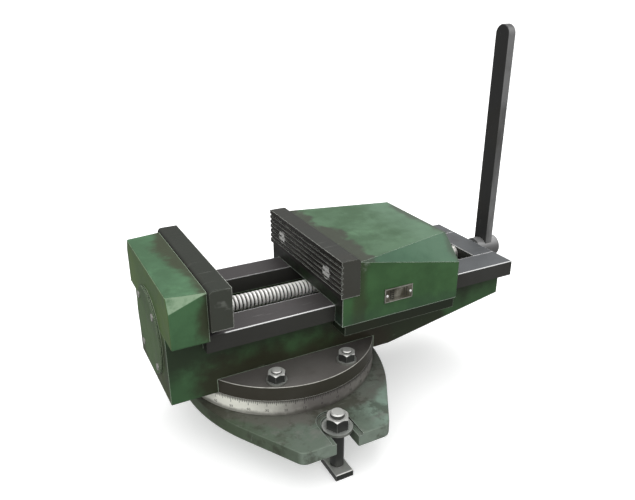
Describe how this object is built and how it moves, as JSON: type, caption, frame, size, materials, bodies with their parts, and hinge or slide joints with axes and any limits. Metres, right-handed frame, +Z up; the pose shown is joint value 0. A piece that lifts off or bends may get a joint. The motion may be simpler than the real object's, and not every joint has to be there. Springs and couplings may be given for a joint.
{
  "type": "machine vise",
  "caption": "Swivel machine vise: a green cast body on a slotted round base, steel jaw plates, a lead screw between two ways and a flat crank handle.",
  "frame": {"origin": "centre of the base's seat face, on the swivel axis", "axes": "+X from the fixed jaw to the crank, along the lead screw; +Z up, the swivel axis; +Y across the jaws"},
  "size_m": [0.5196, 0.368, 0.4648],
  "materials": {
    "green_enamel": "worn green enamel, chipped and oily",
    "blackened_steel": "blackened, oiled, edges worn bright",
    "bare_steel": "dull bare steel",
    "bronze": "turned bronze",
    "plate_alloy": "etched and grimy"
  },
  "bodies": {
    "base": {"swivel_base": "green_enamel", "degree_ring": "bare_steel", "pivot_bush": "bronze"},
    "front_clamp": {"front_table_bolt": "bare_steel", "front_table_washer": "bare_steel", "front_table_nut": "bare_steel"},
    "rear_clamp": {"rear_table_bolt": "bare_steel", "rear_table_washer": "bare_steel", "rear_table_nut": "bare_steel"},
    "vise_body": {"pivot_pin": "bare_steel", "swivel_plate": "blackened_steel", "plate_screws": "bare_steel", "clamp_bolts": "bare_steel", "clamp_washers": "bare_steel", "clamp_nuts": "bare_steel", "body_casting": "green_enamel", "near_way": "blackened_steel", "far_way": "blackened_steel", "way_studs": "blackened_steel", "bearing_block": "blackened_steel", "block_screws": "bare_steel", "rear_screw_bush": "bronze", "front_screw_bush": "bronze", "end_cover": "green_enamel", "end_cover_screws": "bare_steel", "fixed_jaw_plate": "blackened_steel", "fixed_jaw_screws": "bare_steel"},
    "slide": {"moving_jaw": "green_enamel", "moving_jaw_plate": "blackened_steel", "moving_jaw_screws": "bare_steel", "jaw_nut": "bronze", "nut_screws": "bare_steel", "near_keeper": "blackened_steel", "far_keeper": "blackened_steel", "keeper_screws": "bare_steel", "name_plate": "plate_alloy", "name_plate_rivets": "bare_steel"},
    "screw": {"lead_screw": "bare_steel", "thrust_collar": "bare_steel", "collar_set_screw": "bare_steel", "crank_hub": "blackened_steel", "crank_bar": "blackened_steel", "hub_pin": "bare_steel"}
  },
  "joints": [
    {"name": "swivel", "type": "hinge", "parent": "base", "child": "vise_body", "pos_m": [0, 0, 0.0355], "axis": [0, 0, 1], "continuous": true},
    {"name": "screw_turn", "type": "hinge", "parent": "vise_body", "child": "screw", "pos_m": [0.3, 0, 0.1078], "axis": [1, 0, 0], "range_deg": [-9360, 5040]},
    {"name": "jaw_slide", "type": "slide", "parent": "vise_body", "child": "slide", "axis": [1, 0, 0], "range_m": [-0.1302, 0.0702]},
    {"name": "front_bolt_slide", "type": "slide", "parent": "base", "child": "front_clamp", "axis": [0, -1, 0], "range_m": [-0.009, 0.012]},
    {"name": "rear_bolt_slide", "type": "slide", "parent": "base", "child": "rear_clamp", "axis": [0, 1, 0], "range_m": [-0.009, 0.012]}
  ],
  "couplings": [
    {"joint": "jaw_slide", "follows": "screw_turn", "m_per_rad": 0.00079577}
  ]
}
